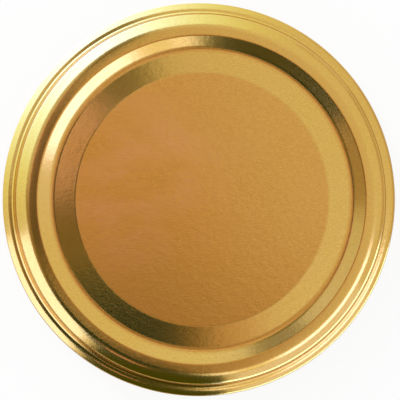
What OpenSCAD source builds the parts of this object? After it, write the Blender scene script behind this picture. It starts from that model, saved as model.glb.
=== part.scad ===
// Jar lid: a lug closure drawn from one sheet of gold-lacquered tinplate, with a
// flowed-in sealing compound under its crown. The lid stands on its curled edge,
// top up, with the origin at the centre of the curl's foot.

/* [Sheet] */
// Thickness of the tinplate
sheet_t = 0.18; // [0.15:0.01:0.24]

/* [Skirt and shoulder] */
// Outside diameter of the skirt, where its line meets the foot
skirt_d = 66.5; // [66:0.1:76]
// Angle by which the skirt leans inwards, towards the crown
skirt_taper = 4.5; // [2:0.5:6]
// Height from the foot of the curl to the top of the crown
cap_h = 9.8; // [9:0.1:12]
// Bend radius of the shoulder, where the crown turns down into the skirt
shoulder_r = 2.5; // [1.8:0.1:2.8]

/* [Curled edge] */
// Width by which the bead stands out beyond the skirt
bead_w = 1.65; // [1.5:0.05:1.75]
// Height of the neck, where the skirt turns out over the bead
neck_z = 2.65; // [2.65:0.05:3.2]
// Bend radius of the neck
neck_r = 0.4; // [0.3:0.05:0.5]
// Angle by which the bead's top falls outwards from the neck
bead_slope = 12; // [10:1:14]
// Bend radius of the bead's top
bead_r = 1.7; // [1.4:0.05:1.7]
// Bend radius of the curl, from the bead's foot to its raw edge
curl_r = 0.75; // [0.6:0.05:0.75]
// Width of the flat that the curl stands on
curl_foot = 0.4; // [0.3:0.05:0.6]
// Angle through which the raw edge is turned over inside the bead
edge_turn = 100; // [80:5:120]

/* [Crown, groove and centre panel] */
// Width of the crown, from its inner edge to the line of the skirt
crown_w = 3.45; // [3.4:0.05:4.5]
// Fall of the crown from its inner edge to the line of the skirt
crown_fall = 0.3; // [0:0.05:0.4]
// Width of the wall from the crown's inner edge down to the groove
wall_w = 2.2; // [1.5:0.05:3]
// Depth of the groove below the crown
groove_drop = 0.8; // [0.5:0.05:1.4]
// Width of the level bottom of the groove
groove_w = 0.8; // [0.5:0.1:2]
// Width of the slope from the groove up to the centre panel
panel_slope_w = 3.65; // [2:0.05:6]
// Height of the centre panel above the groove
panel_rise = 0.5; // [0.2:0.05:0.8]
// Bend radius between the rings
ring_bend = 0.4; // [0.2:0.05:0.5]

/* [Lugs] */
// Number of lugs
lug_count = 4; // [3:1:6]
// Length of each lug, from the inside of the skirt to the lug's tip
lug_reach = 1.72; // [1.2:0.02:2.4]
// Width of each lug along the edge
lug_w = 12; // [8:0.5:16]
// Thickness of the folded lug
lug_t = 0.6; // [0.4:0.05:0.7]
// Height of the lug's underside above the foot
lug_z = 0.12; // [0.06:0.02:0.2]
// Corner radius of the lug's tip
lug_corner = 1.6; // [0.8:0.1:1.8]

/* [Sealing compound] */
// Width of the wall, inside the crown, that the compound covers
seal_wall = 1.1; // [0.6:0.1:1.3]
// Length of the skirt, below the shoulder, that the compound covers
seal_skirt = 0.2; // [0.1:0.1:0.6]
// Rise of the compound's hollow face above the line between its two edges
seal_rise = 0.74; // [0.5:0.02:0.8]

/* [Hidden] */

$fn = 72;
gold = "#c99a4b";
compound = "#e9e4d6";

half_t = sheet_t / 2;
// Radius of the middle of the skirt's sheet at its foot
skirt_r = skirt_d / 2 - half_t;
// Height of the middle of the crown's sheet
crown_z = cap_h - half_t;
// Height of the curl's centre
curl_z = curl_r + half_t;
// Centre radius of the curl's outer and inner bends
curl_out_r = skirt_d / 2 + bead_w - half_t - curl_r;
curl_in_r = curl_out_r - curl_foot;

// Steps along a ring's bend, the shoulder, the bead's top, each of the curl's two
// lower bends and its raw edge, then the compound's face, the lug's hem and corners
ring_steps = 4;
shoulder_steps = 8;
bead_steps = 6;
curl_steps = 5;
edge_steps = 6;
seal_steps = 8;
hem_steps = 6;
corner_steps = 5;

// Left-hand normal of a direction: up on a path that runs outwards
function left(d) = [-d.y, d.x];
function unit(v) = v / norm(v);
function turned(d, a) = [d.x * cos(a) - d.y * sin(a), d.x * sin(a) + d.y * cos(a)];

// Radius of the middle of the skirt's sheet at a height
function skirt_line_r(z) = skirt_r - (z - half_t) * tan(skirt_taper);

// The arc that rounds the corner p between a and b, as [point, normal] pairs
function bend(a, p, b, radius, steps) =
    let(
        u = unit(p - a),
        v = unit(b - p),
        turn = atan2(u.x * v.y - u.y * v.x, u * v),
        side = sign(turn),
        centre = p - u * radius * tan(abs(turn) / 2) + left(u) * radius * side
    )
    [for (k = [0 : steps])
        let(n = left(turned(u, turn * k / steps)))
        [centre - n * radius * side, n]];

// The raw edge's arc about a centre, turned up and over, as [point, normal] pairs
function edge_arc(centre) =
    [for (k = [1 : edge_steps])
        let(a = 180 - edge_turn * k / edge_steps, n = [cos(a), sin(a)])
        [centre + n * curl_r, n]];

// One side of the sheet along a path of [point, normal] pairs
function side(path, offset) = [for (q = path) q[0] + q[1] * offset];

function reversed(list) = [for (i = [len(list) - 1 : -1 : 0]) list[i]];
function last(list) = list[len(list) - 1];

// Corners of the sheet's middle line, from the curl inwards to the axis
foot_in_p = [curl_in_r - curl_r, half_t];
foot_out_p = [curl_out_r + curl_r, half_t];
neck_p = [skirt_line_r(neck_z), neck_z];
bead_p = [foot_out_p.x, neck_z - (foot_out_p.x - neck_p.x) * tan(bead_slope)];
shoulder_z = crown_z - crown_fall;
shoulder_p = [skirt_line_r(shoulder_z), shoulder_z];
crown_p = [shoulder_p.x - crown_w, crown_z];
groove_out_p = crown_p - [wall_w, groove_drop];
groove_in_p = groove_out_p - [groove_w, 0];
panel_p = groove_in_p - [panel_slope_w, -panel_rise];
axis_p = [0, panel_p.y];

panel_path = concat(
    [[axis_p, [0, 1]]],
    bend(axis_p, panel_p, groove_in_p, ring_bend, ring_steps),
    bend(panel_p, groove_in_p, groove_out_p, ring_bend, ring_steps),
    bend(groove_in_p, groove_out_p, crown_p, ring_bend, ring_steps)
);
crown_path = concat(
    bend(groove_out_p, crown_p, shoulder_p, ring_bend, ring_steps),
    bend(crown_p, shoulder_p, neck_p, shoulder_r, shoulder_steps)
);
curl_path = concat(
    bend(shoulder_p, neck_p, bead_p, neck_r, ring_steps),
    bend(neck_p, bead_p, foot_out_p, bead_r, bead_steps),
    bend(bead_p, foot_out_p, foot_in_p, curl_r, curl_steps),
    bend(foot_out_p, foot_in_p, [foot_in_p.x, curl_z], curl_r, curl_steps),
    edge_arc([curl_in_r, curl_z])
);
sheet_path = concat(panel_path, crown_path, curl_path);

// Cross-section of the drawn and curled sheet
module sheet_section() {
    polygon(concat(side(sheet_path, half_t), reversed(side(sheet_path, -half_t))));
}

// A tongue folded in from the curl, with a round hem at its tip. Its root follows
// the middle of the curl's sheet, so that it joins the metal and no more
module lug() {
    tip = skirt_r - half_t - lug_reach;
    hem = lug_t / 2;
    side_y = lug_w / 2;
    section = concat(
        [for (k = [0 : hem_steps])
            let(a = 90 + 180 * k / hem_steps)
            [tip + hem + hem * cos(a), lug_z + hem + hem * sin(a)]],
        [[curl_in_r, lug_z], [curl_in_r, lug_z + lug_t]]
    );
    tip_corner = [for (k = [0 : corner_steps])
        let(a = 90 + 90 * k / corner_steps)
        [tip + lug_corner + lug_corner * cos(a), side_y - lug_corner + lug_corner * sin(a)]];
    plan = concat(
        [[curl_in_r, side_y]],
        tip_corner,
        reversed([for (p = tip_corner) [p.x, -p.y]]),
        [[curl_in_r, -side_y]]
    );
    intersection() {
        rotate([90, 0, 0]) linear_extrude(lug_w, center = true) polygon(section);
        linear_extrude(lug_z + lug_t) polygon(plan);
        rotate_extrude() difference() {
            square([curl_in_r, lug_z + lug_t]);
            translate([curl_in_r, curl_z]) circle(curl_r);
        }
    }
}

module shell() {
    color(gold) union() {
        rotate_extrude() sheet_section();
        for (k = [0 : lug_count - 1]) rotate([0, 0, 360 * k / lug_count]) lug();
    }
}

// The compound fills the underside of the crown, from the wall to the top of the
// skirt, and its lower face is an arc that the jar's rim beds into
module sealing_ring() {
    up = unit(crown_p - groove_out_p);
    down = unit(neck_p - shoulder_p);
    inner = crown_p - up * seal_wall / up.x - left(up) * half_t;
    outer = last(crown_path)[0] + down * seal_skirt - left(down) * half_t;
    roof = concat([inner], side(crown_path, -half_t), [outer]);
    chord = norm(outer - inner);
    face_r = (chord * chord / 4 + seal_rise * seal_rise) / (2 * seal_rise);
    half_angle = asin(chord / 2 / face_r);
    centre = (inner + outer) / 2 + left(unit(outer - inner)) * (seal_rise - face_r);
    face = [for (k = [1 : seal_steps - 1])
        let(a = half_angle * (1 - 2 * k / seal_steps))
        centre + turned(left(unit(outer - inner)), -a) * face_r];
    color(compound) rotate_extrude() polygon(reversed(concat(roof, face)));
}

shell();
sealing_ring();
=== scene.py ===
"""A gold-lacquered tinplate jar lid: its looks, its studio and its camera.

The lid is drawn from one sheet, so its shell is one surface that follows the
middle of the sheet from the centre panel to the raw edge inside the curl. The
sealing ring is cast in the channel under the crown. All sizes are in metres.
"""

from __future__ import annotations

import logging
import math
from dataclasses import dataclass, field
from typing import Any, Sequence

import bmesh
import bpy
from mathutils import Matrix, Vector


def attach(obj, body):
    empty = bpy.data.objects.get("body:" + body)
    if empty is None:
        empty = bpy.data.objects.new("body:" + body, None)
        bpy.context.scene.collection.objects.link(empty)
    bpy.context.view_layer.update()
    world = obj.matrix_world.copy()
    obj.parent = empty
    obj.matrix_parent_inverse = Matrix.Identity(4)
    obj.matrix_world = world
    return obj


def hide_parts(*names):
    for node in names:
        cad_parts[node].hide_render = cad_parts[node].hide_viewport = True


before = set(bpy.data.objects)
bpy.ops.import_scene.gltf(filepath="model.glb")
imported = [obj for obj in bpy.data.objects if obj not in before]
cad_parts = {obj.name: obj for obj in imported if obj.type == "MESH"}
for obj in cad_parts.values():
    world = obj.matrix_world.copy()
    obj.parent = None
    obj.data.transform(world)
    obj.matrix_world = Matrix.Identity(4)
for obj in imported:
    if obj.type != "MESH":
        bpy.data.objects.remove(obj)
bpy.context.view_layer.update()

MM = 0.001
BODY = "root"
ORIGIN = Vector((0.0, 0.0, 0.0))
UP = Vector((0.0, 0.0, 1.0))
TOWARDS_VIEWER = Vector((0.0, -1.0, 0.0))
MERGE = 1e-7
WHITE = (1.0, 1.0, 1.0, 1.0)
CARD_STEP = 4.0

log = logging.getLogger("jar_lid")


# Shader expressions


class Signal:
    """A socket of a node tree that can be used in Python expressions."""

    def __init__(self, graph: "Graph", socket: Any) -> None:
        """Wraps a socket.

        Args:
            graph: The graph that the socket belongs to.
            socket: The output socket.
        """
        self.graph = graph
        self.socket = socket

    def _math(self, operation: str, *values: Any) -> "Signal":
        """Adds a Math node and returns its result."""
        settings = {"operation": operation}
        return self.graph.node("ShaderNodeMath", settings, dict(enumerate(values)))

    def __add__(self, other: Any) -> "Signal":
        """This value plus another."""
        return self._math("ADD", self, other)

    def __sub__(self, other: Any) -> "Signal":
        """This value minus another."""
        return self._math("SUBTRACT", self, other)

    def __rsub__(self, other: Any) -> "Signal":
        """Another value minus this one."""
        return self._math("SUBTRACT", other, self)

    def __mul__(self, other: Any) -> "Signal":
        """This value times another."""
        return self._math("MULTIPLY", self, other)

    __radd__ = __add__
    __rmul__ = __mul__

    def smooth(self, low: float, high: float) -> "Signal":
        """Rises smoothly from 0 at low to 1 at high.

        Args:
            low: The value that gives 0.
            high: The value that gives 1.

        Returns:
            The eased value.
        """
        settings = {"interpolation_type": "SMOOTHSTEP"}
        values = {"Value": self, "From Min": low, "From Max": high}
        return self.graph.node("ShaderNodeMapRange", settings, values)

    def clamped(self) -> "Signal":
        """This value held between 0 and 1."""
        return self.graph.node("ShaderNodeClamp", {}, {"Value": self})


class Graph:
    """Builds one node tree from its output backwards."""

    def __init__(self, tree: Any) -> None:
        """Clears a node tree and keeps it.

        Args:
            tree: The node tree of a material or of the world.
        """
        self.tree = tree
        tree.nodes.clear()

    def node(
        self,
        kind: str,
        settings: dict[str, Any],
        values: dict[Any, Any],
        output: Any = 0,
    ) -> Signal:
        """Adds a node, sets it up and feeds its sockets.

        Args:
            kind: The node's type name.
            settings: Its properties.
            values: Numbers, colours or signals, by socket name or index.
            output: Name or index of the output to return.

        Returns:
            The chosen output as a signal.
        """
        made = self.tree.nodes.new(kind)
        for name, setting in settings.items():
            setattr(made, name, setting)
        for name, value in values.items():
            if isinstance(value, Signal):
                self.tree.links.new(value.socket, made.inputs[name])
            else:
                made.inputs[name].default_value = value
        chosen = made.outputs[output] if len(made.outputs) else None
        return Signal(self, chosen)

    def mix(self, factor: Any, low: Any, high: Any) -> Signal:
        """Blends two colours.

        Args:
            factor: 0 gives low and 1 gives high.
            low: A colour or signal.
            high: A colour or signal.

        Returns:
            The blended colour.
        """
        settings = {"data_type": "RGBA", "clamp_factor": True}
        low = low if isinstance(low, Signal) else (*low, 1.0)
        high = high if isinstance(high, Signal) else (*high, 1.0)
        return self.node("ShaderNodeMix", settings, {0: factor, 6: low, 7: high}, 2)

    def object_point(self) -> Signal:
        """The point on the object, in its own space."""
        return self.node("ShaderNodeTexCoord", {}, {}, "Object")

    def scaled(self, point: Signal, scale: Sequence[float]) -> Signal:
        """A point stretched along the axes.

        Args:
            point: The point.
            scale: The factor on X, Y and Z.

        Returns:
            The stretched point.
        """
        return self.node("ShaderNodeMapping", {}, {"Vector": point, "Scale": tuple(scale)})

    def distance(self, point: Signal, centre: Sequence[float]) -> Signal:
        """How far a point lies from a centre.

        Args:
            point: The point.
            centre: The centre.

        Returns:
            The distance in metres.
        """
        values = {0: point, 1: tuple(centre)}
        return self.node("ShaderNodeVectorMath", {"operation": "DISTANCE"}, values, "Value")

    def noise(
        self,
        point: Signal,
        size: float,
        stretch: Sequence[float] = (1.0, 1.0, 1.0),
        detail: float = 2.0,
        rough: float = 0.5,
    ) -> Signal:
        """Noise of a given grain size.

        Args:
            point: Where it is sampled.
            size: Grain size in metres.
            stretch: How many times longer the grain is on each axis.
            detail: Octaves of finer noise.
            rough: Strength of the finer noise.

        Returns:
            A value about 0.5.
        """
        scale = [1.0 / (size * s) for s in stretch]
        place = self.scaled(point, scale)
        values = {"Vector": place, "Scale": 1.0, "Detail": detail, "Roughness": rough}
        return self.node("ShaderNodeTexNoise", {}, values)

    def bump(self, height: Signal) -> Signal:
        """Normals of a surface raised by a height in metres."""
        values = {"Height": height, "Strength": 1.0, "Distance": 1.0}
        return self.node("ShaderNodeBump", {}, values)

    def visible_rays(self) -> Signal:
        """1 on rays that come straight, by reflection or through glass to the eye."""
        paths = self.node("ShaderNodeLightPath", {}, {}, "Is Camera Ray")
        outputs = paths.socket.node.outputs
        glossy = Signal(self, outputs["Is Glossy Ray"])
        through = Signal(self, outputs["Is Transmission Ray"])
        return (paths + glossy + through).clamped()


# Finishes


@dataclass(frozen=True)
class LacqueredTinplate:
    """Bright tinplate under a clear gold lacquer, with the grain of rolling along X."""

    gold: tuple[float, float, float] = (0.68, 0.43, 0.095)
    deep_gold: tuple[float, float, float] = (0.61, 0.37, 0.07)
    # Painted reflection: a lighter, pinker gold that stands in for a reflection on the left of
    # the centre panel. It is fixed in the lacquer's colour, so it stays there from every view.
    painted_reflection: tuple[float, float, float] = (0.77, 0.475, 0.21)
    painted_reflection_share: float = 0.75
    painted_reflection_centre: tuple[float, float, float] = (-12.0 * MM, 3.0 * MM, 9.5 * MM)
    painted_reflection_reach: float = 21.0 * MM
    painted_reflection_patch: float = 6.5 * MM
    painted_reflection_least: float = 0.12
    edge_gold: tuple[float, float, float] = (0.95, 0.80, 0.50)
    roughness: float = 0.16
    roughness_spread: float = 0.06
    coat_weight: float = 0.2
    coat_roughness: float = 0.3
    grain: float = 0.22 * MM
    grain_length: float = 2.2
    orange_peel: float = 1.1 * MM
    grain_height: float = 0.006 * MM
    peel_height: float = 0.009 * MM

    def material(self) -> bpy.types.Material:
        """Makes the material.

        Returns:
            The finished material.
        """
        made = bpy.data.materials.new("gold_lacquered_tinplate")
        made.use_nodes = True
        graph = Graph(made.node_tree)
        point = graph.object_point()
        along = (self.grain_length, 1.0, self.grain_length)
        grain = graph.noise(point, self.grain, along, detail=3.0)
        peel = graph.noise(point, self.orange_peel)
        # Painted reflection: blotchy streaks of the lighter gold, strongest near a point over
        # the left of the centre panel and fading outwards, mixed into the base colour.
        patch = graph.noise(point, self.painted_reflection_patch, (1.6, 1.0, 1.6), detail=3.0)
        away = graph.distance(point, self.painted_reflection_centre)
        near = 1.0 - away.smooth(self.painted_reflection_reach * 0.2, self.painted_reflection_reach)
        share = self.painted_reflection_least + (1.0 - self.painted_reflection_least) * near
        painted_reflection = patch.smooth(0.3, 0.7) * grain.smooth(0.3, 0.65) * share
        rolled = graph.mix(grain.smooth(0.25, 0.75), self.gold, self.deep_gold)
        colour = graph.mix(painted_reflection * self.painted_reflection_share, rolled, self.painted_reflection)
        rough = self.roughness + self.roughness_spread * (grain - 0.5)
        height = grain * self.grain_height + peel * self.peel_height
        shader = graph.node("ShaderNodeBsdfPrincipled", {}, {
            "Base Color": colour,
            "Metallic": 1.0,
            "Roughness": rough,
            "Specular Tint": (*self.edge_gold, 1.0),
            "Coat Weight": self.coat_weight,
            "Coat Roughness": self.coat_roughness,
            "Normal": graph.bump(height),
        })
        graph.node("ShaderNodeOutputMaterial", {}, {"Surface": shader})
        return made


@dataclass(frozen=True)
class SealingCompound:
    """Off-white flowed-in compound, smooth and a little waxy."""

    cream: tuple[float, float, float] = (0.80, 0.76, 0.66)
    grey: tuple[float, float, float] = (0.72, 0.68, 0.58)
    roughness: float = 0.42
    roughness_spread: float = 0.1
    flow_height: float = 0.01 * MM

    def material(self) -> bpy.types.Material:
        """Makes the material.

        Returns:
            The finished material.
        """
        made = bpy.data.materials.new("sealing_compound")
        made.use_nodes = True
        graph = Graph(made.node_tree)
        point = graph.object_point()
        cloud = graph.noise(point, 4.0 * MM)
        flow = graph.noise(point, 1.2 * MM)
        colour = graph.mix(cloud.smooth(0.3, 0.7), self.cream, self.grey)
        height = flow * self.flow_height
        shader = graph.node("ShaderNodeBsdfPrincipled", {}, {
            "Base Color": colour,
            "Roughness": self.roughness + self.roughness_spread * (flow - 0.5),
            "Normal": graph.bump(height),
        })
        graph.node("ShaderNodeOutputMaterial", {}, {"Surface": shader})
        return made


# The sheet's path


@dataclass(frozen=True)
class Corner:
    """A corner of the sheet's middle line and the radius that it is bent to."""

    radius: float
    height: float
    bend: float
    steps: int = 6

    @property
    def point(self) -> Vector:
        """The corner's place in the XZ plane."""
        return Vector((self.radius, 0.0, self.height))


def left_of(heading: Vector) -> Vector:
    """The direction to the left of a heading in the XZ plane, seen from -Y."""
    return Vector((-heading.z, 0.0, heading.x))


def shifted(corners: Sequence[Corner], distance: float) -> list[Corner]:
    """Moves a line sideways, so that it stays parallel to itself.

    Args:
        corners: The line's corners. The first and last only give directions.
        distance: How far it moves to the left.

    Returns:
        The corners between the first and the last, moved, with their new bends.
    """
    moved = []
    for before, here, after in zip(corners, corners[1:], corners[2:]):
        arriving = (here.point - before.point).normalized()
        leaving = (after.point - here.point).normalized()
        a, b = left_of(arriving), left_of(leaving)
        place = here.point + (a + b) * (distance / (1.0 + a.dot(b)))
        side = math.copysign(1.0, leaving.dot(a))
        moved.append(Corner(place.x, place.z, here.bend - distance * side, here.steps))
    return moved


@dataclass
class SheetPath:
    """A wire in the XZ plane that is drawn forwards, straight or round a bend."""

    mesh: bmesh.types.BMesh
    start: Vector
    heading: Vector

    def __post_init__(self) -> None:
        """Places the wire's first point."""
        self.tip = self.mesh.verts.new(self.start)

    @property
    def left(self) -> Vector:
        """The direction to the left of the heading."""
        return left_of(self.heading)

    def run(self, length: float) -> None:
        """Draws one edge straight on.

        Args:
            length: How far.
        """
        grown = bmesh.ops.extrude_vert_indiv(self.mesh, verts=[self.tip])
        self.tip = grown["verts"][0]
        self.tip.co += self.heading * length

    def turn(self, degrees: float, radius: float, steps: int) -> None:
        """Draws an arc, to the left where the angle is positive.

        Args:
            degrees: The angle turned.
            radius: The arc's radius.
            steps: How many edges to draw.
        """
        side = math.copysign(1.0, degrees)
        centre = self.tip.co + self.left * (radius * side)
        angle = math.radians(degrees)
        for _ in range(steps):
            grown = bmesh.ops.extrude_vert_indiv(self.mesh, verts=[self.tip])
            self.tip = grown["verts"][0]
            spin = Matrix.Rotation(angle / steps, 3, TOWARDS_VIEWER)
            bmesh.ops.rotate(self.mesh, cent=centre, matrix=spin, verts=[self.tip])
        self.heading = Matrix.Rotation(angle, 3, TOWARDS_VIEWER) @ self.heading

    def through(self, corners: Sequence[Corner]) -> None:
        """Draws the line through corners and stops where the last one is reached.

        Args:
            corners: The corners in order. The last one is only aimed at.
        """
        for here, after in zip(corners, corners[1:]):
            corner = here.point
            onward = (after.point - corner).normalized()
            ahead = onward.dot(self.heading)
            aside = onward.dot(self.left)
            degrees = math.degrees(math.atan2(aside, ahead))
            tangent = here.bend * math.tan(math.radians(abs(degrees)) / 2)
            self.run((corner - self.tip.co).length - tangent)
            self.turn(degrees, here.bend, here.steps)


# The pieces


def spun(mesh: bmesh.types.BMesh, steps: int) -> None:
    """Turns a wire all the way round Z and closes its seam and poles.

    Args:
        mesh: The mesh that holds only the wire.
        steps: How many steps the turn has.
    """
    geometry = mesh.verts[:] + mesh.edges[:]
    bmesh.ops.spin(
        mesh,
        geom=geometry,
        cent=ORIGIN,
        axis=UP,
        angle=math.tau,
        steps=steps,
        use_merge=True,
        use_duplicate=False,
    )
    bmesh.ops.remove_doubles(mesh, verts=mesh.verts[:], dist=MERGE)
    bmesh.ops.recalc_face_normals(mesh, faces=mesh.faces[:])


def placed(name: str, mesh: bmesh.types.BMesh, finish: bpy.types.Material) -> bpy.types.Object:
    """Makes an object of a mesh, smooth and dressed, riding on the lid.

    Args:
        name: The piece's name.
        mesh: The mesh, which is used up.
        finish: Its material.

    Returns:
        The new object.
    """
    data = bpy.data.meshes.new(name)
    for face in mesh.faces:
        face.smooth = True
    mesh.to_mesh(data)
    mesh.free()
    data.materials.append(finish)
    made = bpy.data.objects.new(name, data)
    bpy.context.scene.collection.objects.link(made)
    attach(made, BODY)
    return made


@dataclass
class Shell:
    """The lid's one sheet, from the centre panel to the raw edge in the curl."""

    sheet: float = 0.18 * MM
    height: float = 9.8 * MM
    skirt: float = 33.16 * MM
    taper: float = 4.5
    shoulder_bend: float = 2.5 * MM
    crown_width: float = 3.45 * MM
    crown_fall: float = 0.3 * MM
    wall_width: float = 2.2 * MM
    groove_drop: float = 0.8 * MM
    groove_width: float = 0.8 * MM
    groove_fall: float = 0.06 * MM
    panel_slope: float = 3.65 * MM
    panel_rise: float = 0.5 * MM
    panel_bend: float = 3.2 * MM
    groove_bend: float = 2.6 * MM
    crown_bend: float = 0.9 * MM
    bead: float = 34.81 * MM
    neck: float = 2.65 * MM
    neck_bend: float = 0.6 * MM
    bead_slope: float = 10.0
    bead_bend: float = 1.4 * MM
    curl_bend: float = 0.75 * MM
    curl_foot: float = 0.4 * MM
    edge_turn: float = 100.0
    steps: int = 288
    finish: LacqueredTinplate = field(default_factory=LacqueredTinplate)

    def corners(self) -> list[Corner]:
        """The corners of the middle line, from the axis to the inside of the curl.

        Returns:
            The corners in the order in which the sheet passes them.
        """
        foot_z = self.sheet / 2
        crown_z = self.height - foot_z
        groove_z = crown_z - self.groove_drop
        shoulder_z = crown_z - self.crown_fall
        lean = math.tan(math.radians(self.taper))
        shoulder_r = self.skirt - (shoulder_z - foot_z) * lean
        neck_r = self.skirt - (self.neck - foot_z) * lean
        bead_z = self.neck - (self.bead - neck_r) * math.tan(math.radians(self.bead_slope))
        crown_r = shoulder_r - self.crown_width
        groove_out_r = crown_r - self.wall_width
        groove_in_r = groove_out_r - self.groove_width
        panel_r = groove_in_r - self.panel_slope
        curl_in_r = self.bead - 2 * self.curl_bend - self.curl_foot
        return [
            Corner(panel_r, groove_z + self.panel_rise, self.panel_bend, 8),
            Corner(groove_in_r, groove_z, self.panel_bend, 8),
            Corner(groove_out_r, groove_z - self.groove_fall, self.groove_bend, 12),
            Corner(crown_r, crown_z, self.crown_bend, 12),
            Corner(shoulder_r, shoulder_z, self.shoulder_bend, 24),
            Corner(neck_r, self.neck, self.neck_bend, 10),
            Corner(self.bead, bead_z, self.bead_bend, 20),
            Corner(self.bead, foot_z, self.curl_bend, 12),
            Corner(curl_in_r, foot_z, self.curl_bend, 12),
            Corner(curl_in_r, self.neck, 0.0),
        ]

    def build(self) -> bpy.types.Object:
        """Builds and dresses the shell.

        Returns:
            The shell's object.
        """
        mesh = bmesh.new()
        corners = self.corners()
        start = Vector((0.0, 0.0, corners[0].height))
        path = SheetPath(mesh, start, Vector((1.0, 0.0, 0.0)))
        path.through(corners)
        path.turn(-self.edge_turn, self.curl_bend, 12)
        spun(mesh, self.steps)
        made = placed("shell_sheet", mesh, self.finish.material())
        wall = made.modifiers.new("sheet", "SOLIDIFY")
        wall.thickness = self.sheet
        wall.offset = 0.0
        wall.use_even_offset = True
        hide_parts("shell")
        return made


@dataclass
class Lugs:
    """The tongues folded inwards from the curl, which catch the jar's threads."""

    count: int = 4
    root: float = 33.3 * MM
    tip: float = 31.35 * MM
    width: float = 12.0 * MM
    thickness: float = 0.6 * MM
    underside: float = 0.12 * MM
    corner: float = 1.6 * MM
    finish: LacqueredTinplate = field(default_factory=LacqueredTinplate)

    def build(self, material: bpy.types.Material) -> list[bpy.types.Object]:
        """Builds each lug.

        Args:
            material: The sheet's material.

        Returns:
            The lugs.
        """
        return [self.lug(k, material) for k in range(self.count)]

    def lug(self, index: int, material: bpy.types.Material) -> bpy.types.Object:
        """Builds one lug.

        Args:
            index: Which lug, counted round from +X.
            material: The sheet's material.

        Returns:
            The lug.
        """
        mesh = bmesh.new()
        bmesh.ops.create_cube(mesh, size=1.0)
        size = Vector((self.root - self.tip, self.width, self.thickness))
        bmesh.ops.scale(mesh, vec=size, verts=mesh.verts[:])
        middle = Vector(((self.root + self.tip) / 2, 0.0, self.underside + self.thickness / 2))
        bmesh.ops.translate(mesh, vec=middle, verts=mesh.verts[:])
        tips = [e for e in mesh.edges if self._upright(e) and self._at_tip(e)]
        bmesh.ops.bevel(
            mesh, geom=tips, offset=self.corner, segments=8,
            affect="EDGES", profile=0.5, material=-1,
        )
        rims = [e for e in mesh.edges if not self._upright(e) and not self._at_root(e)]
        bmesh.ops.bevel(
            mesh, geom=rims, offset=self.thickness * 0.42, segments=5,
            affect="EDGES", profile=0.5, material=-1,
        )
        turn = Matrix.Rotation(math.tau * index / self.count, 3, "Z")
        bmesh.ops.rotate(mesh, cent=ORIGIN, matrix=turn, verts=mesh.verts[:])
        made = placed(f"lug_{index + 1}", mesh, material)
        return made

    def _upright(self, edge: bmesh.types.BMEdge) -> bool:
        """Whether an edge runs up and down."""
        a, b = (v.co for v in edge.verts)
        return abs(a.z - b.z) > self.thickness / 2

    def _at_tip(self, edge: bmesh.types.BMEdge) -> bool:
        """Whether an edge lies at the lug's tip."""
        return all(v.co.x < self.tip + MERGE for v in edge.verts)

    def _at_root(self, edge: bmesh.types.BMEdge) -> bool:
        """Whether an edge lies at the lug's root."""
        return all(v.co.x > self.root - MERGE for v in edge.verts)


@dataclass
class SealingRing:
    """The compound in the channel under the crown."""

    shell: Shell
    wall: float = 1.1 * MM
    skirt: float = 0.2 * MM
    rise: float = 0.74 * MM
    steps: int = 192
    finish: SealingCompound = field(default_factory=SealingCompound)

    def build(self) -> bpy.types.Object:
        """Builds and dresses the ring.

        Returns:
            The ring's object.
        """
        inset = self.shell.sheet / 2
        corners = self.shell.corners()[2:7]
        up = (corners[1].point - corners[0].point).normalized()
        start = corners[1].point - up * (self.wall / up.x) - left_of(up) * inset
        mesh = bmesh.new()
        path = SheetPath(mesh, start, up)
        path.through(shifted(corners, -inset))
        path.run(self.skirt)
        chord = start - path.tip.co
        length = chord.length
        face_r = (length * length / 4 + self.rise**2) / (2 * self.rise)
        half_angle = math.asin(length / 2 / face_r)
        lean = Matrix.Rotation(-half_angle, 3, TOWARDS_VIEWER)
        path.heading = lean @ chord.normalized()
        path.turn(math.degrees(2 * half_angle), face_r, 16)
        spun(mesh, self.steps)
        made = placed("sealing_ring_cast", mesh, self.finish.material())
        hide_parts("sealing_ring")
        return made


# The studio


@dataclass(frozen=True)
class Card:
    """A card curved round the lid, which shows only in the lid's gloss.

    Azimuths run from +X towards +Y and zeniths down from straight above, in
    degrees. The fade is the share of half the card's width, and of half its
    height, over which it comes up from white to its radiance.
    """

    name: str
    azimuth: tuple[float, float]
    zenith: tuple[float, float]
    radius: float
    radiance: tuple[float, float, float]
    fade: tuple[float, float] = (0.0, 0.0)


@dataclass(frozen=True)
class Lamp:
    """An evenly lit round panel that faces the lid."""

    name: str
    azimuth: float
    zenith: float
    size: float
    distance: float
    radiance: float


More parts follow.
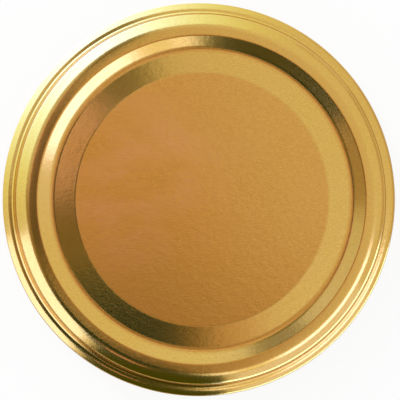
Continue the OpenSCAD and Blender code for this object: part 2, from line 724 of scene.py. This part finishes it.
@dataclass
class Studio:
    """The floor, the surround, the lamps and the camera."""

    floor_size: float = 4.0
    floor_tone: float = 0.97
    white_share: float = 0.86
    fill: float = 0.85
    lean: float = 3.6
    distance: float = 0.9
    sensor: float = 36.0
    frame_width: float = 71.07 * MM
    frame_centre: Vector = field(default_factory=lambda: Vector((0.168, -0.062, 0.8)) * MM)
    cards: Sequence[Card] = (
        Card("overhead", (0.0, 360.0), (0.0, 12.0), 0.53, (0.82, 0.53, 0.44)),
        Card("overhead_right", (-20.0, 60.0), (5.0, 14.0), 0.52, (0.94, 0.82, 0.79)),
        Card("ceiling", (-75.0, 100.0), (14.0, 20.0), 0.52, (0.90, 0.83, 0.80)),
        Card("overhead_top", (60.0, 150.0), (4.0, 13.0), 0.52, (0.88, 0.66, 0.60)),
        Card("overhead_low", (245.0, 322.0), (1.2, 14.0), 0.51, (0.42, 0.26, 0.14)),
        Card("brown_high", (128.0, 212.0), (7.5, 14.5), 0.50, (0.06, 0.05, 0.0)),
        Card("tan_high", (212.0, 285.0), (8.0, 13.5), 0.475, (0.51, 0.36, 0.25)),
        Card("tan_edge", (285.0, 325.0), (11.0, 17.5), 0.50, (0.66, 0.50, 0.42)),
        Card("strip", (101.0, 130.0), (14.5, 26.0), 0.49, (0.14, 0.13, 0.01)),
        Card("strip_low", (102.0, 124.0), (26.0, 44.0), 0.49, (0.36, 0.33, 0.14)),
        Card("tan_side", (130.0, 178.0), (14.5, 22.0), 0.505, (0.98, 0.66, 0.80)),
        Card("tan_low", (126.0, 176.0), (22.0, 40.0), 0.49, (0.86, 0.88, 0.90)),
        Card("brown_side", (178.0, 219.0), (14.5, 27.0), 0.50, (0.28, 0.22, 0.08)),
        Card("brown_low", (172.0, 213.0), (27.0, 43.0), 0.49, (0.50, 0.38, 0.20)),
        Card("dark_high", (215.0, 276.0), (14.5, 27.0), 0.48, (0.0, 0.035, 0.0)),
        Card("dark", (213.0, 276.0), (27.0, 60.0), 0.48, (0.08, 0.09, 0.0)),
        Card("dark_low", (236.0, 281.0), (46.0, 130.0), 0.46, (0.08, 0.10, 0.0)),
        Card("dark_edge", (274.0, 284.0), (14.5, 27.0), 0.47, (0.28, 0.20, 0.06)),
        Card("warm_side", (284.0, 302.0), (14.0, 27.0), 0.51, (0.80, 0.56, 0.44)),
        Card("window_edge", (279.5, 285.5), (31.0, 50.0), 0.50, (2.0, 2.2, 4.0)),
        Card("window_side", (286.5, 301.0), (31.0, 50.0), 0.50, (1.28, 1.3, 1.2)),
        Card("window", (301.0, 345.0), (31.5, 52.0), 0.50, (2.6, 2.9, 7.0)),
        Card("peach", (284.0, 333.0), (56.0, 106.0), 0.50, (1.20, 1.26, 2.0)),
        Card("floor_glow", (278.0, 348.0), (112.0, 134.0), 0.50, (2.6, 3.7, 7.5)),
        Card("pink", (241.0, 254.0), (41.0, 52.0), 0.44, (0.85, 0.50, 0.60)),
        Card("side_band", (-14.0, 56.0), (90.0, 122.0), 0.50, (0.80, 0.70, 0.66)),
        Card("low_box", (192.0, 232.0), (41.0, 135.0), 0.45, (1.9, 2.3, 4.8)),
        Card("key", (34.0, 216.0), (37.0, 165.0), 0.50, (1.9, 3.1, 10.0), (1.0, 0.12)),
        Card("table", (165.0, 435.0), (136.0, 172.0), 0.50, (0.42, 0.33, 0.22), (0.4, 0.0)),
    )
    lamps: Sequence[Lamp] = (
        Lamp("key_lamp", 129.0, 62.0, 0.14, 0.7, 25.0),
    )

    def build(self) -> None:
        """Sets up the whole studio."""
        self.light_world()
        self.lay_floor()
        for card in self.cards:
            self.stand_card(card)
        for lamp in self.lamps:
            self.hang_lamp(lamp)
        self.set_camera()
        bpy.context.scene.view_settings.view_transform = "Standard"

    @staticmethod
    def towards(azimuth: float, zenith: float) -> Vector:
        """A direction from the lid.

        Args:
            azimuth: Degrees round from +X towards +Y.
            zenith: Degrees down from straight above.

        Returns:
            The unit direction.
        """
        a, z = math.radians(azimuth), math.radians(zenith)
        return Vector((math.sin(z) * math.cos(a), math.sin(z) * math.sin(a), math.cos(z)))

    @staticmethod
    def eased(inside: float, fade: float) -> float:
        """How far a card has come up to its full radiance.

        Args:
            inside: Distance from the card's edge, as a share of half its width.
            fade: The share of half the width that the card takes to come up.

        Returns:
            0 at the edge of a card that fades, and 1 beyond the fade.
        """
        share = min(1.0, inside / fade) if fade else 1.0
        return share * share * (3.0 - 2.0 * share)

    def facing(self, azimuth: float, zenith: float, distance: float) -> Matrix:
        """The place of something that faces the lid from a direction.

        Args:
            azimuth: Degrees round from +X towards +Y.
            zenith: Degrees down from straight above.
            distance: How far from the lid.

        Returns:
            A matrix whose -Z axis points at the lid.
        """
        back = self.towards(azimuth, zenith)
        turn = back.to_track_quat("Z", "Y").to_matrix().to_4x4()
        return Matrix.Translation(back * distance) @ turn

    def light_world(self) -> None:
        """Makes a white surround that lights the lid at a plain level."""
        world = bpy.data.worlds.new("surround")
        bpy.context.scene.world = world
        world.use_nodes = True
        graph = Graph(world.node_tree)
        seen = graph.visible_rays()
        strength = self.fill + (1.0 - self.fill) * seen
        shader = graph.node("ShaderNodeBackground", {}, {"Color": WHITE, "Strength": strength})
        graph.node("ShaderNodeOutputWorld", {}, {"Surface": shader})

    def lay_floor(self) -> None:
        """Lays the pale floor that the lid stands on."""
        mesh = bmesh.new()
        bmesh.ops.create_grid(mesh, x_segments=1, y_segments=1, size=self.floor_size / 2)
        floor = self._staged("floor", mesh)
        material = bpy.data.materials.new("floor")
        material.use_nodes = True
        graph = Graph(material.node_tree)
        tone = (self.floor_tone,) * 3 + (1.0,)
        plain = graph.node("ShaderNodeBsdfDiffuse", {}, {"Color": tone})
        glow = graph.node("ShaderNodeEmission", {}, {"Color": WHITE, "Strength": 1.0})
        share = graph.visible_rays() * self.white_share
        shader = graph.node("ShaderNodeMixShader", {}, {0: share, 1: plain, 2: glow})
        graph.node("ShaderNodeOutputMaterial", {}, {"Surface": shader})
        floor.data.materials.append(material)
        floor.visible_glossy = False

    def stand_card(self, card: Card) -> None:
        """Stands one card.

        Args:
            card: Its place, size and radiance.
        """
        mesh = bmesh.new()
        columns = max(2, round((card.azimuth[1] - card.azimuth[0]) / CARD_STEP))
        rows = max(2, round((card.zenith[1] - card.zenith[0]) / CARD_STEP))
        bmesh.ops.create_grid(mesh, x_segments=columns, y_segments=rows, size=1.0)
        glow = mesh.verts.layers.float_color.new("glow")
        radiance = (*card.radiance, 1.0)
        for vert in mesh.verts:
            x, y = vert.co.x, vert.co.y
            across = self.eased(1.0 - abs(x), card.fade[0])
            along = self.eased(1.0 - abs(y), card.fade[1])
            rise = (across**2 * along, across**2 * along, across**4 * along, 0.0)
            vert[glow] = [w + r * (c - w) for w, r, c in zip(WHITE, rise, radiance)]
            azimuth = sum(card.azimuth) / 2 + x * (card.azimuth[1] - card.azimuth[0]) / 2
            zenith = sum(card.zenith) / 2 + y * (card.zenith[1] - card.zenith[0]) / 2
            vert.co = self.towards(azimuth, zenith) * card.radius
        made = self._staged(card.name, mesh)
        made.visible_camera = False
        made.visible_diffuse = False
        made.visible_shadow = False
        material = bpy.data.materials.new(card.name)
        material.use_nodes = True
        graph = Graph(material.node_tree)
        colour = graph.node("ShaderNodeAttribute", {"attribute_name": "glow"}, {}, "Color")
        shader = graph.node("ShaderNodeEmission", {}, {"Color": colour, "Strength": 1.0})
        graph.node("ShaderNodeOutputMaterial", {}, {"Surface": shader})
        made.data.materials.append(material)

    def hang_lamp(self, lamp: Lamp) -> None:
        """Hangs one lamp.

        Args:
            lamp: Its place, size and radiance.
        """
        data = bpy.data.lights.new(lamp.name, "AREA")
        data.shape = "DISK"
        data.size = lamp.size
        data.energy = lamp.radiance * math.pi * math.pi * lamp.size**2 / 4
        made = bpy.data.objects.new(lamp.name, data)
        made.matrix_world = self.facing(lamp.azimuth, lamp.zenith, lamp.distance)
        bpy.context.scene.collection.objects.link(made)

    def set_camera(self) -> None:
        """Sets the camera over the lid, leaning a little to its left."""
        data = bpy.data.cameras.new("camera")
        data.sensor_width = self.sensor
        data.lens = self.sensor * self.distance / self.frame_width
        data.clip_start = 0.01
        made = bpy.data.objects.new("camera", data)
        back = self.towards(180.0, self.lean)
        right = Vector((0.0, 1.0, 0.0)).cross(back).normalized()
        turn = Matrix((right, back.cross(right), back)).transposed().to_4x4()
        made.matrix_world = Matrix.Translation(self.frame_centre + back * self.distance) @ turn
        bpy.context.scene.collection.objects.link(made)
        bpy.context.scene.camera = made

    @staticmethod
    def _staged(name: str, mesh: bmesh.types.BMesh) -> bpy.types.Object:
        """Makes a stage object of a mesh."""
        data = bpy.data.meshes.new(name)
        mesh.to_mesh(data)
        mesh.free()
        made = bpy.data.objects.new(name, data)
        bpy.context.scene.collection.objects.link(made)
        return made


def main() -> None:
    """Builds the studio and the lid and keeps the two boxes."""
    logging.basicConfig(level=logging.INFO, format="%(name)s: %(message)s")
    Studio().build()
    shell = Shell()
    sheet = shell.build()
    log.info("sheet with %d faces", len(sheet.data.polygons))
    for lug in Lugs().build(sheet.data.materials[0]):
        log.info("%s", lug.name)
    ring = SealingRing(shell).build()
    log.info("ring with %d faces", len(ring.data.polygons))


if __name__ == "__main__":
    main()
